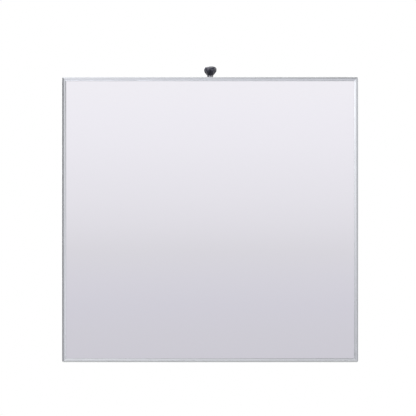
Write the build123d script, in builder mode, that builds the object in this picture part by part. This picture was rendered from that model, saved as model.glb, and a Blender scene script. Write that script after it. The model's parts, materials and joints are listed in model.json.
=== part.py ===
from build123d import *

import os
from math import asin, cos, degrees, radians, sin, sqrt

# Square convex road and yard mirror on a swivelling wall bracket.
#
# The mirror head hangs from a short wall arm. It pans about a vertical stud, locked by a star knob that
# stands above the mirror's top edge, and it tilts about a horizontal bolt behind the pane.
#
# Units are millimetres. The origin is the centre of the wall plate's back face, +Y points into the wall,
# the mirror faces -Y, +X is to the right as the mirror is looked at, and +Z is up.

# ---------------------------------------------------------------- driving dimensions: mirror head
MIRROR_WIDTH = 600
MIRROR_HEIGHT = 578
MIRROR_TOP_Z = 80
FRAME_CORNER_R = 3
DOME_R = 3600  # radius of the pane's front surface
DOME_FRONT_Y = -229  # the front of the dome, in the middle of the mirror
PANE_T = 3
BACKING_T = 2
SHELL_T = 3
BACKING_INSET = 12  # how far the backing sheet stops short of the pane's edge, each side

# Edge frame, in section: insets are from its outer face, heights are above the pane's front surface.
FRAME_WALL = 1.8
FRAME_SIGHT = 7.9  # width of the front lip
FRAME_RIDGE_INSET = 3.1
FRAME_RIDGE_H = 2.4
FRAME_REAR_LIP = 4.8
FRAME_REAR_T = 1.4
GASKET_T = 0.8
KEY_T = 1.5
KEY_LEG = 28
CORNER_SCREW_R = 1.45
CORNER_SCREW_FROM_CORNER = 16

# ---------------------------------------------------------------- driving dimensions: bracket
PLATE_WIDTH = 80
PLATE_HEIGHT = 140
PLATE_T = 5
PLATE_CORNER_R = 8
WALL_HOLE_R = 4.5
WALL_HOLE_SPACING_X = 55
WALL_HOLE_SPACING_Z = 110

PAN_Y = -150  # the pan axis is vertical, through x = 0
ARM_Z = 45
ARM_WIDTH = 20
ARM_HEIGHT = 30
ARM_WALL = 2
GUSSET_T = 5
GUSSET_REACH = 100
GUSSET_FOOT_Z = -52

BARREL_R = 12
BARREL_BORE_R = 6
BARREL_HALF_H = 20
BUSH_FLANGE_R = 10
BUSH_FLANGE_T = 1.5
BUSH_DEPTH = 14

YOKE_T = 4
YOKE_WIDTH = 40
YOKE_WEB_GAP = 4  # from the barrel to the yoke's web
YOKE_EAR_R = 16
YOKE_BEND_R = 5

STUD_R = 3.0
STUD_BOTTOM_Z = 8
PAN_NUT_AF = 10
PAN_NUT_H = 5
SPRING_WASHER_R = 5.6
SPRING_WASHER_T = 1.6
PLAIN_WASHER_R = 8
PLAIN_WASHER_T = 1.2

TILT_Z = 45
TILT_BLOCK_SIDE = 20
TILT_BLOCK_HALF_LENGTH = 21.5
TILT_BOLT_R = 4.0
TILT_BUSH_R = 5.5
TILT_BUSH_DEPTH = 12
TILT_BUSH_FLANGE_R = 8
TILT_BUSH_FLANGE_T = 1
FRICTION_DISC_R = 11
FRICTION_DISC_T = 1.3
TILT_WASHER_R = 8
TILT_WASHER_T = 1.6

HINGE_EAR_INNER_X = 24
HINGE_PLATE_T = 3
HINGE_HALF_H = 29
HINGE_EAR_R = 12
HINGE_BASE_Y = -196  # rear face of the bracket's base
HINGE_BOLT_R = 3.0
HINGE_BOLT_X = 12
HINGE_BOLT_DZ = 21

SPINE_T = 2
SPINE_HALF_WIDTH = 30
SPINE_FLANGE = 20
SPINE_TOP_Z = 74
SPINE_LENGTH = 480
RIVET_R = 2
RIVET_X = 40
RIVET_COUNT = 5
RIVET_PLAY = 0.01  # under each head, so that its flat face clears the curved flange

# ---------------------------------------------------------------- driving dimensions: star knob
KNOB_R = 12.65
KNOB_NECK_R = 6.2
KNOB_GRIP_BOTTOM_Z = 83.7
KNOB_CONE_TOP_Z = 90.7
KNOB_CONE_TOP_R = 11.8
KNOB_RIM_Z = 97
KNOB_CROWN_Z = 101.3  # where the domed top has drawn in to KNOB_CROWN_R
KNOB_CROWN_R = 8.9
KNOB_TOP_Z = 102.5
KNOB_FLUTES = 6
KNOB_FLUTE_R = 4.6
KNOB_FLUTE_TOP_Z = 95.5  # each flute runs out on the rim at this height
KNOB_FLUTE_LEAN = 33  # degrees from upright, deeper towards the neck
KNOB_TURN = -89  # degrees about +Z to the flute that faces forwards at rest
KNOB_LEG_BOTTOM_Z = 75.5
KNOB_WINDOW_WIDTH = 3.4  # of the gaps between the skirt's legs, where the metal hub shows
KNOB_WINDOW_DEPTH = 1.6
HUB_INSERT_R = 5.2
HUB_INSERT_TOP_Z = 94
HUB_STUD_TOP_Z = 90

# ---------------------------------------------------------------- clearances
RUNNING = 0.06  # radial, between a shaft and its bush
FREE = 0.2  # radial, where a shaft passes a hole without bearing on it
SEAT = 0.05  # between pieces that are clamped or bedded together
AXIAL = 0.1  # between the faces of pieces that turn on each other

# ---------------------------------------------------------------- worked out from the above
MIRROR_MID_Z = MIRROR_TOP_Z - MIRROR_HEIGHT / 2
DOME_CENTRE = Vector(0, DOME_FRONT_Y + DOME_R, MIRROR_MID_Z)
PANE_BACK_R = DOME_R - PANE_T
BACKING_BACK_R = PANE_BACK_R - BACKING_T
SHELL_BACK_R = BACKING_BACK_R - SHELL_T
STACK_T = DOME_R - SHELL_BACK_R
STACK_INSET = FRAME_WALL + KEY_T + 4 * SEAT
STACK_WIDTH = MIRROR_WIDTH - 2 * STACK_INSET
STACK_HEIGHT = MIRROR_HEIGHT - 2 * STACK_INSET
PLAN = Plane(origin=(0, DOME_FRONT_Y, MIRROR_MID_Z), x_dir=(1, 0, 0), z_dir=(0, -1, 0))
DEPTH = 80  # long enough along Y to pass through the whole head

YOKE_WEB_Y = PAN_Y - BARREL_R - YOKE_WEB_GAP  # rear face of the web
YOKE_FRONT_Y = YOKE_WEB_Y - YOKE_T
EAR_INNER = BARREL_HALF_H + BUSH_FLANGE_T + AXIAL  # from ARM_Z to an ear's inner face
EAR_MID = EAR_INNER + YOKE_T / 2
EAR_OUTER = EAR_INNER + YOKE_T
TILT_Y = YOKE_FRONT_Y - TILT_BLOCK_SIDE / 2
SPRING_WASHER_Z = ARM_Z + EAR_OUTER
PLAIN_WASHER_Z = SPRING_WASHER_Z + SPRING_WASHER_T
HUB_BOTTOM_Z = PLAIN_WASHER_Z + PLAIN_WASHER_T
SPINE_REAR_Y = HINGE_BASE_Y - HINGE_PLATE_T

SIDES = {
    # side: outward direction, half the mirror's size that way, half the rail's length
    "top": (Vector(0, 0, 1), MIRROR_HEIGHT / 2, MIRROR_WIDTH / 2),
    "bottom": (Vector(0, 0, -1), MIRROR_HEIGHT / 2, MIRROR_WIDTH / 2),
    "left": (Vector(-1, 0, 0), MIRROR_WIDTH / 2, MIRROR_HEIGHT / 2),
    "right": (Vector(1, 0, 0), MIRROR_WIDTH / 2, MIRROR_HEIGHT / 2),
}
CORNERS = {
    "top_left": (-1, 1),
    "top_right": (1, 1),
    "bottom_left": (-1, -1),
    "bottom_right": (1, -1),
}

os.makedirs("parts", exist_ok=True)


def dome_y(x, z, radius):
    """Y of the sphere of that radius, concentric with the pane, at a point of the mirror's plan."""
    dz = z - MIRROR_MID_Z
    return DOME_CENTRE.Y - sqrt(radius**2 - x**2 - dz**2)


def between_spheres(outer_r, inner_r):
    """Keeps, of the part being built, only what lies between two spheres concentric with the pane."""
    with Locations(DOME_CENTRE):
        Sphere(outer_r, mode=Mode.INTERSECT)
        Sphere(inner_r, mode=Mode.SUBTRACT)


def seats_on_dome(points, radius):
    """Locations on that sphere, one per (x, z), whose Z axis points rearwards along its normal."""
    seats = []
    for x, z in points:
        foot = Vector(x, dome_y(x, z, radius), z)
        seats.append(Location(Plane(origin=foot, z_dir=DOME_CENTRE - foot)))
    return seats


# ================================================================ mirror head
def dome_sheet(width, height, corner_r, outer_r, inner_r):
    """A sheet of the dome with a rounded rectangular outline."""
    with BuildPart() as sheet:
        with BuildSketch(PLAN):
            RectangleRounded(width, height, corner_r)
        extrude(amount=DEPTH, both=True)
        between_spheres(outer_r, inner_r)
    return sheet


rivet_rows = [
    SPINE_TOP_Z - SPINE_LENGTH * (2 * n + 1) / (2 * RIVET_COUNT) for n in range(RIVET_COUNT)
]
rivet_points = [(side * RIVET_X, z) for z in rivet_rows for side in (-1, 1)]
rivet_seats = seats_on_dome(rivet_points, SHELL_BACK_R - SPINE_T - RIVET_PLAY)

mirror_pane = dome_sheet(STACK_WIDTH, STACK_HEIGHT, FRAME_CORNER_R / 2, DOME_R, PANE_BACK_R)
mirror_pane.part.label = "mirror_pane"
export_step(mirror_pane.part, "parts/mirror_pane.step")

with BuildPart() as backing_sheet:
    add(
        dome_sheet(
            STACK_WIDTH - 2 * BACKING_INSET,
            STACK_HEIGHT - 2 * BACKING_INSET,
            FRAME_CORNER_R,
            PANE_BACK_R,
            BACKING_BACK_R,
        ).part
    )
    with Locations(*rivet_seats):
        Hole(radius=2.5 * RIVET_R)
backing_sheet.part.label = "backing_sheet"
export_step(backing_sheet.part, "parts/backing_sheet.step")

RIB_H = 5
RIB_W = 4
RIB_FRAME_INSET = 34
with BuildPart() as back_shell:
    add(dome_sheet(STACK_WIDTH, STACK_HEIGHT, FRAME_CORNER_R / 2, BACKING_BACK_R, SHELL_BACK_R).part)
    with BuildPart(mode=Mode.PRIVATE) as ribs:
        with BuildSketch(PLAN):
            rib_width = STACK_WIDTH - 2 * RIB_FRAME_INSET
            rib_height = STACK_HEIGHT - 2 * RIB_FRAME_INSET
            rib_reach = rib_width / 2 - SPINE_HALF_WIDTH - SPINE_FLANGE
            RectangleRounded(rib_width + RIB_W, rib_height + RIB_W, 12)
            RectangleRounded(rib_width - RIB_W, rib_height - RIB_W, 10, mode=Mode.SUBTRACT)
            for side in (-1, 1):
                with Locations((side * (rib_width / 2 - rib_reach / 2), 0)):
                    with GridLocations(0, rib_height / 4, 1, 3):
                        Rectangle(rib_reach, RIB_W)
            Rectangle(2 * (SPINE_HALF_WIDTH + SPINE_FLANGE), MIRROR_HEIGHT, mode=Mode.SUBTRACT)
        extrude(amount=DEPTH, both=True)
        between_spheres(SHELL_BACK_R, SHELL_BACK_R - RIB_H)
    add(ribs.part)
    with Locations(*rivet_seats):
        Hole(radius=RIVET_R + SEAT)
back_shell.part.label = "back_shell"
export_step(back_shell.part, "parts/back_shell.step")


def rim_strip(side, section):
    """A mitred strip along one side of the dome's rim. Its section is a list of (inset, height)."""
    outward, half_span, half_length = SIDES[side]
    sweep_angle = degrees(asin(half_length / (DOME_R - half_span))) * 1.1
    pivot = Axis(DOME_CENTRE, outward)
    along = outward.cross(Vector(0, -1, 0)).rotate(pivot, -sweep_angle)
    start = Plane(origin=DOME_CENTRE, x_dir=outward, z_dir=along)
    corners = []
    for inset, height in section:
        across = half_span - inset
        corners.append((across, sqrt((DOME_R + height) ** 2 - across**2)))
    trim = 2 * FRAME_SIGHT
    with BuildPart() as strip:
        with BuildSketch(start):
            with BuildLine():
                Polyline(*corners, close=True)
            make_face()
        revolve(axis=pivot, revolution_arc=2 * sweep_angle)
        with BuildSketch(Plane(origin=PLAN.origin, x_dir=outward, z_dir=(0, -1, 0))):
            with BuildLine():
                Polyline(
                    (half_span, half_length),
                    (half_span - trim, half_length - trim),
                    (half_span - trim, trim - half_length),
                    (half_span, -half_length),
                    close=True,
                )
            make_face()
            RectangleRounded(2 * half_span, 2 * half_length, FRAME_CORNER_R, mode=Mode.INTERSECT)
        extrude(amount=DEPTH, both=True, mode=Mode.INTERSECT)
    return strip


def corner_screw_seats(side):
    """Where the two corner screws of one rail enter its outer face, with Z pointing outwards."""
    outward, half_span, half_length = SIDES[side]
    reach = half_length - CORNER_SCREW_FROM_CORNER
    along = Vector(outward.Z, 0, outward.X)
    seats = []
    for way in (-1, 1):
        plan = outward * half_span + along * (way * reach)
        y = dome_y(plan.X, MIRROR_MID_Z + plan.Z, DOME_R - STACK_T / 2)
        foot = Vector(plan.X, y, MIRROR_MID_Z + plan.Z)
        seats.append(Location(Plane(origin=foot, z_dir=outward)))
    return seats


SCREW_HEAD_R = 2.7
frame_section = [
    (0, 0.2),
    (FRAME_RIDGE_INSET, FRAME_RIDGE_H),
    (FRAME_SIGHT, GASKET_T + 6 * SEAT),
    (FRAME_SIGHT, GASKET_T + 2 * SEAT),
    (FRAME_WALL, GASKET_T + 2 * SEAT),
    (FRAME_WALL, -STACK_T - 2 * SEAT),
    (FRAME_REAR_LIP, -STACK_T - 2 * SEAT),
    (FRAME_REAR_LIP, -STACK_T - FRAME_REAR_T),
    (0.8, -STACK_T - FRAME_REAR_T),
    (0, -STACK_T - FRAME_REAR_T + 0.8),
]
gasket_section = [
    (STACK_INSET, SEAT),
    (STACK_INSET, GASKET_T),
    (FRAME_SIGHT - 0.3, GASKET_T),
    (FRAME_SIGHT - 0.3, SEAT),
]

for side in SIDES:
    with BuildPart() as rail:
        add(rim_strip(side, frame_section).part)
        with Locations(*corner_screw_seats(side)):
            CounterSinkHole(CORNER_SCREW_R + SEAT, SCREW_HEAD_R + SEAT, depth=2 * FRAME_WALL)
    rail.part.label = f"frame_{side}_rail"
    export_step(rail.part, f"parts/frame_{side}_rail.step")

with BuildPart() as glazing_gasket:
    for side in SIDES:
        add(rim_strip(side, gasket_section).part)
glazing_gasket.part.label = "glazing_gasket"
export_step(glazing_gasket.part, "parts/glazing_gasket.step")

screw_holes = [seat for side in SIDES for seat in corner_screw_seats(side)]
for corner, (way_x, way_z) in CORNERS.items():
    with BuildPart() as key:
        with BuildSketch(PLAN):
            key_width = MIRROR_WIDTH - 2 * (FRAME_WALL + SEAT)
            key_height = MIRROR_HEIGHT - 2 * (FRAME_WALL + SEAT)
            RectangleRounded(key_width, key_height, FRAME_CORNER_R / 2)
            Rectangle(key_width - 2 * KEY_T, key_height - 2 * KEY_T, mode=Mode.SUBTRACT)
            with Locations((way_x * key_width / 2, way_z * key_height / 2)):
                Rectangle(2 * KEY_LEG, 2 * KEY_LEG, mode=Mode.INTERSECT)
        extrude(amount=DEPTH, both=True)
        between_spheres(DOME_R - 0.5, SHELL_BACK_R + 0.5)
        with Locations(*screw_holes):
            Hole(radius=CORNER_SCREW_R + SEAT, depth=3 * FRAME_WALL)
    key.part.label = f"corner_key_{corner}"
    export_step(key.part, f"parts/corner_key_{corner}.step")

with BuildPart() as corner_screw:
    with BuildSketch(Plane.XZ):
        with BuildLine():
            Polyline(
                (0, 0),
                (SCREW_HEAD_R, 0),
                (CORNER_SCREW_R, CORNER_SCREW_R - SCREW_HEAD_R),
                (CORNER_SCREW_R, -FRAME_WALL - KEY_T),
                (0, -FRAME_WALL - KEY_T),
                close=True,
            )
        make_face()
    revolve(axis=Axis.Z)
    with BuildSketch(Plane.XY):
        Rectangle(2.6, 0.6)
        Rectangle(0.6, 2.6)
    extrude(amount=-0.9, mode=Mode.SUBTRACT)
with BuildPart() as corner_screws:
    with Locations(*screw_holes):
        add(corner_screw.part)
corner_screws.part.label = "corner_screws"
export_step(corner_screws.part, "parts/corner_screws.step")

# ================================================================ spine and its rivets
spine_mid_z = SPINE_TOP_Z - SPINE_LENGTH / 2
FRONT = (Align.CENTER, Align.MAX, Align.CENTER)  # a box that grows forwards from its location


def behind_the_shell():
    """Keeps, of the part being built, only what lies behind the back shell."""
    with Locations(DOME_CENTRE):
        Sphere(SHELL_BACK_R, mode=Mode.INTERSECT)


with BuildPart() as spine:
    with Locations((0, SPINE_REAR_Y, spine_mid_z)):
        Box(2 * (SPINE_HALF_WIDTH + SPINE_FLANGE), DEPTH, SPINE_LENGTH, align=FRONT)
    between_spheres(SHELL_BACK_R, SHELL_BACK_R - SPINE_T)
    with BuildPart(mode=Mode.PRIVATE) as channel:
        with Locations((0, SPINE_REAR_Y, spine_mid_z)):
            Box(2 * SPINE_HALF_WIDTH, DEPTH, SPINE_LENGTH, align=FRONT)
        behind_the_shell()
    add(channel.part)
    with Locations((0, SPINE_REAR_Y - SPINE_T, spine_mid_z)):
        Box(2 * (SPINE_HALF_WIDTH - SPINE_T), DEPTH, SPINE_LENGTH + 1, align=FRONT, mode=Mode.SUBTRACT)
    base_edges = spine.edges().filter_by(Axis.Z).sort_by(Axis.Y)[-2:]
    fillet(base_edges, 1.5)
    with Locations(*rivet_seats):
        Hole(radius=RIVET_R + SEAT)
    with BuildSketch(Plane.XZ.offset(-SPINE_REAR_Y)):
        with Locations((0, TILT_Z)):
            with GridLocations(2 * HINGE_BOLT_X, 2 * HINGE_BOLT_DZ, 2, 2):
                Circle(HINGE_BOLT_R + FREE)
    extrude(amount=2 * SPINE_T, both=True, mode=Mode.SUBTRACT)
spine.part.label = "spine_channel"
export_step(spine.part, "parts/spine_channel.step")

RIVET_HEAD_R = 3.8
RIVET_HEAD_H = 1.6
RIVET_TAIL_R = 3.2
RIVET_TAIL_H = 1.2
rivet_grip = SPINE_T + SHELL_T + 2 * RIVET_PLAY
with BuildPart() as rivet:
    with BuildSketch(Plane.XZ):
        with BuildLine():
            Polyline(
                (RIVET_HEAD_R, 0),
                (RIVET_R, 0),
                (RIVET_R, -rivet_grip),
                (RIVET_TAIL_R, -rivet_grip),
                (RIVET_TAIL_R - 0.4, -rivet_grip - RIVET_TAIL_H),
                (0, -rivet_grip - RIVET_TAIL_H),
                (0, RIVET_HEAD_H),
            )
            ThreePointArc((0, RIVET_HEAD_H), (RIVET_HEAD_R * 0.6, RIVET_HEAD_H * 0.78), (RIVET_HEAD_R, 0))
        make_face()
    revolve(axis=Axis.Z)
with BuildPart() as spine_rivets:
    with Locations(*rivet_seats):
        add(rivet.part)
spine_rivets.part.label = "spine_rivets"
export_step(spine_rivets.part, "parts/spine_rivets.step")

# ================================================================ tilt hinge, mirror side
tilt_axis = Axis((0, TILT_Y, TILT_Z), (1, 0, 0))
ear_outer_x = HINGE_EAR_INNER_X + HINGE_PLATE_T

with BuildPart() as hinge_bracket:
    with Locations((0, HINGE_BASE_Y, TILT_Z)):
        Box(2 * ear_outer_x, HINGE_PLATE_T, 2 * HINGE_HALF_H, align=FRONT)
    for start_x in (-ear_outer_x, HINGE_EAR_INNER_X):
        with BuildSketch(Plane.YZ.offset(start_x)):
            with Locations((TILT_Y, TILT_Z)):
                Circle(HINGE_EAR_R)
            with Locations((HINGE_BASE_Y - HINGE_PLATE_T / 2, TILT_Z)):
                Rectangle(HINGE_PLATE_T, 2 * HINGE_HALF_H)
            make_hull()
            with Locations((TILT_Y, TILT_Z)):
                Circle(TILT_BOLT_R + FREE, mode=Mode.SUBTRACT)
        extrude(amount=HINGE_PLATE_T)
    bends = hinge_bracket.edges().filter_by(Axis.Z).sort_by(Axis.Y)[:2]
    fillet(bends, 2)
    with BuildSketch(Plane.XZ.offset(-HINGE_BASE_Y)):
        with Locations((0, TILT_Z)):
            with GridLocations(2 * HINGE_BOLT_X, 2 * HINGE_BOLT_DZ, 2, 2):
                Circle(HINGE_BOLT_R + FREE)
    extrude(amount=HINGE_PLATE_T, mode=Mode.SUBTRACT)
hinge_bracket.part.label = "hinge_bracket"
export_step(hinge_bracket.part, "parts/hinge_bracket.step")

hinge_seats = [
    Location(Plane(origin=(sx * HINGE_BOLT_X, HINGE_BASE_Y, TILT_Z + sz * HINGE_BOLT_DZ), z_dir=(0, 1, 0)))
    for sx in (-1, 1)
    for sz in (-1, 1)
]
HINGE_WASHER_R = 6
HINGE_WASHER_T = 1.2
HINGE_BOLT_END = 2
HINGE_HEAD_H = 4
HINGE_NUT_H = 5
HINGE_BOLT_AF = 10
hinge_grip = HINGE_PLATE_T + SPINE_T


def chamfered_hexagon(across_flats, height):
    """A hexagon bar along +Z from the origin, with both ends turned down at its corners."""
    corner_r = across_flats / sqrt(3)
    with BuildPart() as bar:
        with BuildSketch():
            RegularPolygon(across_flats / 2, 6, major_radius=False)
        extrude(amount=height)
        with BuildPart(mode=Mode.PRIVATE) as turned:
            Cylinder(corner_r, height, align=(Align.CENTER, Align.CENTER, Align.MIN))
            chamfer(turned.edges().filter_by(GeomType.CIRCLE), corner_r - across_flats / 2)
        add(turned.part, mode=Mode.INTERSECT)
    return bar


def hexagon_bolt(radius, across_flats, head_height, length):
    """A hexagon bolt whose head stands on the XY plane and whose shank runs down -Z."""
    with BuildPart() as bolt:
        add(chamfered_hexagon(across_flats, head_height).part)
        Cylinder(radius, length, align=(Align.CENTER, Align.CENTER, Align.MAX))
        chamfer(bolt.faces().sort_by(Axis.Z)[0].edges(), radius / 6)
    return bolt


def hexagon_nut(bore_r, across_flats, height):
    """A hexagon nut standing on the XY plane."""
    with BuildPart() as nut:
        add(chamfered_hexagon(across_flats, height).part)
        Cylinder(bore_r, 3 * height, mode=Mode.SUBTRACT)
    return nut


def washer(outer_r, bore_r, thickness):
    """A plain washer standing on the XY plane."""
    with BuildPart() as ring:
        with BuildSketch():
            Circle(outer_r)
            Circle(bore_r, mode=Mode.SUBTRACT)
        extrude(amount=thickness)
    return ring


def raised(locations, height):
    """The same locations, moved along their own Z axes."""
    return [at * Location((0, 0, height)) for at in locations]


with BuildPart() as hinge_washers:
    with Locations(*hinge_seats):
        add(washer(HINGE_WASHER_R, HINGE_BOLT_R + FREE, HINGE_WASHER_T).part)
hinge_washers.part.label = "hinge_washers"
export_step(hinge_washers.part, "parts/hinge_washers.step")

hinge_bolt_length = HINGE_WASHER_T + hinge_grip + HINGE_NUT_H + HINGE_BOLT_END
with BuildPart() as hinge_bolts:
    with Locations(*raised(hinge_seats, HINGE_WASHER_T)):
        add(hexagon_bolt(HINGE_BOLT_R, HINGE_BOLT_AF, HINGE_HEAD_H, hinge_bolt_length).part)
hinge_bolts.part.label = "hinge_bolts"
export_step(hinge_bolts.part, "parts/hinge_bolts.step")

with BuildPart() as hinge_nuts:
    with Locations(*raised(hinge_seats, -hinge_grip - HINGE_NUT_H)):
        add(hexagon_nut(HINGE_BOLT_R, HINGE_BOLT_AF, HINGE_NUT_H).part)
hinge_nuts.part.label = "hinge_nuts"
export_step(hinge_nuts.part, "parts/hinge_nuts.step")


def tilt_seat(x, way):
    """A location on the tilt axis whose Z axis points along X that way."""
    return Location(Plane(origin=(x, TILT_Y, TILT_Z), z_dir=(way, 0, 0)))


TILT_BOLT_AF = 13
TILT_HEAD_H = 5.3
TILT_NUT_H = 8
TILT_BOLT_END = 2
NUT_COLLAR_H = 1.6
NUT_COLLAR_INSET = 0.9
tilt_washer_x = ear_outer_x + TILT_WASHER_T
with BuildPart() as tilt_washers:
    with Locations(tilt_seat(ear_outer_x, 1), tilt_seat(-ear_outer_x, -1)):
        add(washer(TILT_WASHER_R, TILT_BOLT_R + FREE, TILT_WASHER_T).part)
tilt_washers.part.label = "tilt_washers"
export_step(tilt_washers.part, "parts/tilt_washers.step")

tilt_bolt_length = 2 * tilt_washer_x + TILT_NUT_H + TILT_BOLT_END
with BuildPart() as tilt_bolt:
    with Locations(tilt_seat(-tilt_washer_x, -1)):
        add(hexagon_bolt(TILT_BOLT_R, TILT_BOLT_AF, TILT_HEAD_H, tilt_bolt_length).part)
tilt_bolt.part.label = "tilt_bolt"
export_step(tilt_bolt.part, "parts/tilt_bolt.step")

with BuildPart() as tilt_lock_nut:
    with Locations(tilt_seat(tilt_washer_x, 1)):
        add(hexagon_nut(TILT_BOLT_R, TILT_BOLT_AF, TILT_NUT_H - NUT_COLLAR_H).part)
    with Locations(tilt_seat(tilt_washer_x + TILT_NUT_H - NUT_COLLAR_H, 1)):
        add(washer(TILT_BOLT_AF / 2 - NUT_COLLAR_INSET, TILT_BOLT_R, NUT_COLLAR_H).part)
    collar_rim = tilt_lock_nut.faces().sort_by(Axis.X)[-1].outer_wire().edges()
    fillet(collar_rim, NUT_COLLAR_H / 2)
tilt_lock_nut.part.label = "tilt_lock_nut"
export_step(tilt_lock_nut.part, "parts/tilt_lock_nut.step")

friction_x = TILT_BLOCK_HALF_LENGTH + TILT_BUSH_FLANGE_T + AXIAL
for name, way in (("left", -1), ("right", 1)):
    with BuildPart() as friction_disc:
        with Locations(tilt_seat(way * friction_x, way)):
            add(washer(FRICTION_DISC_R, TILT_BOLT_R + FREE, FRICTION_DISC_T).part)
    friction_disc.part.label = f"friction_disc_{name}"
    export_step(friction_disc.part, f"parts/friction_disc_{name}.step")

# ================================================================ yoke, tilt block and their bushes
with BuildPart() as yoke:
    with BuildSketch(Plane.YZ):
        ear_end_y = PAN_Y + YOKE_EAR_R
        web_mid_y = YOKE_WEB_Y - YOKE_T / 2
        with BuildLine():
            FilletPolyline(
                (ear_end_y, ARM_Z + EAR_MID),
                (web_mid_y, ARM_Z + EAR_MID),
                (web_mid_y, ARM_Z - EAR_MID),
                (ear_end_y, ARM_Z - EAR_MID),
                radius=YOKE_BEND_R,
            )
        trace(line_width=YOKE_T)
    extrude(amount=YOKE_WIDTH / 2, both=True)
    with BuildSketch(Plane.XY.offset(ARM_Z)):
        with Locations((0, PAN_Y)):
            Circle(YOKE_EAR_R)
        with Locations((0, YOKE_WEB_Y)):
            Rectangle(YOKE_WIDTH, 2 * (YOKE_T + YOKE_BEND_R))
        make_hull()
    extrude(amount=2 * EAR_OUTER, both=True, mode=Mode.INTERSECT)
    with Locations((0, PAN_Y, ARM_Z)):
        Cylinder(STUD_R + FREE, 4 * EAR_OUTER, mode=Mode.SUBTRACT)
yoke.part.label = "yoke"
export_step(yoke.part, "parts/yoke.step")

with BuildPart() as tilt_block:
    with Locations((0, YOKE_FRONT_Y, TILT_Z)):
        Box(2 * TILT_BLOCK_HALF_LENGTH, TILT_BLOCK_SIDE, TILT_BLOCK_SIDE, align=FRONT)
    chamfer(tilt_block.edges().filter_by(Axis.X).sort_by(Axis.Y)[:2], 2)
    with Locations(tilt_seat(0, 1)):
        Cylinder(TILT_BUSH_R, 4 * TILT_BLOCK_HALF_LENGTH, mode=Mode.SUBTRACT)
tilt_block.part.label = "tilt_block"
export_step(tilt_block.part, "parts/tilt_block.step")


def flanged_bush(outer_r, bore_r, depth, flange_r, flange_t):
    """A bush whose flange stands on the XY plane and whose sleeve runs down -Z."""
    with BuildPart() as bush:
        Cylinder(flange_r, flange_t, align=(Align.CENTER, Align.CENTER, Align.MIN))
        chamfer(bush.faces().sort_by(Axis.Z)[-1].edges(), flange_t / 4)
        Cylinder(outer_r, depth, align=(Align.CENTER, Align.CENTER, Align.MAX))
        Cylinder(bore_r, 3 * depth, mode=Mode.SUBTRACT)
    return bush


bush = flanged_bush(
    TILT_BUSH_R, TILT_BOLT_R + RUNNING, TILT_BUSH_DEPTH, TILT_BUSH_FLANGE_R, TILT_BUSH_FLANGE_T
)
for name, way in (("left", -1), ("right", 1)):
    with BuildPart() as tilt_bush:
        with Locations(tilt_seat(way * TILT_BLOCK_HALF_LENGTH, way)):
            add(bush.part)
    tilt_bush.part.label = f"tilt_bush_{name}"
    export_step(tilt_bush.part, f"parts/tilt_bush_{name}.step")

with BuildPart() as pan_nut:
    with Locations((0, PAN_Y, ARM_Z - EAR_OUTER - PAN_NUT_H)):
        add(hexagon_nut(STUD_R + RUNNING, PAN_NUT_AF, PAN_NUT_H).part)
pan_nut.part.label = "pan_nut"
export_step(pan_nut.part, "parts/pan_nut.step")

# ================================================================ star knob, its stud and washers
with BuildPart() as spring_washer:
    with Locations((0, PAN_Y, SPRING_WASHER_Z)):
        add(washer(SPRING_WASHER_R, STUD_R + FREE, SPRING_WASHER_T - SEAT).part)
        with Locations(Location((4.5, 0, 0), (20, 0, 0))):
            Box(6, 0.8, 8, mode=Mode.SUBTRACT)
spring_washer.part.label = "spring_washer"
export_step(spring_washer.part, "parts/spring_washer.step")
with BuildPart() as knob_washer:
    with Locations((0, PAN_Y, PLAIN_WASHER_Z)):
        add(washer(PLAIN_WASHER_R, STUD_R + FREE, PLAIN_WASHER_T - SEAT).part)
knob_washer.part.label = "knob_washer"
export_step(knob_washer.part, "parts/knob_washer.step")

with BuildPart() as knob_stud:
    with Locations((0, PAN_Y, STUD_BOTTOM_Z)):
        Cylinder(
            STUD_R, HUB_STUD_TOP_Z - STUD_BOTTOM_Z, align=(Align.CENTER, Align.CENTER, Align.MIN)
        )
    chamfer(knob_stud.faces().sort_by(Axis.Z)[0].edges(), 0.7)
knob_stud.part.label = "knob_stud"
export_step(knob_stud.part, "parts/knob_stud.step")

pan_axis = Axis((0, PAN_Y, 0), (0, 0, 1))
knob_plane = Plane(origin=(0, PAN_Y, 0), x_dir=(1, 0, 0), z_dir=(0, -1, 0))
with BuildPart() as knob_hub:
    with BuildSketch(knob_plane):
        with BuildLine():
            Polyline(
                (STUD_R, HUB_BOTTOM_Z),
                (KNOB_NECK_R - 0.5, HUB_BOTTOM_Z),
                (KNOB_NECK_R, HUB_BOTTOM_Z + 0.5),
                (KNOB_NECK_R, KNOB_LEG_BOTTOM_Z),
                (HUB_INSERT_R, KNOB_LEG_BOTTOM_Z),
                (HUB_INSERT_R, HUB_INSERT_TOP_Z),
                (0, HUB_INSERT_TOP_Z),
                (0, HUB_STUD_TOP_Z),
                (STUD_R, HUB_STUD_TOP_Z),
                close=True,
            )
        make_face()
    revolve(axis=pan_axis)
knob_hub.part.label = "knob_hub"
export_step(knob_hub.part, "parts/knob_hub.step")

flute_places = []
for n in range(KNOB_FLUTES):
    radial = Vector(1, 0, 0).rotate(Axis.Z, KNOB_TURN + n * 360 / KNOB_FLUTES)
    lean = radians(KNOB_FLUTE_LEAN)
    rim_spot = Vector(0, PAN_Y, KNOB_FLUTE_TOP_Z) + radial * (KNOB_R + KNOB_FLUTE_R / cos(lean))
    flute_places.append(Location(Plane(origin=rim_spot, z_dir=radial * sin(lean) + Vector(0, 0, cos(lean)))))

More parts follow.
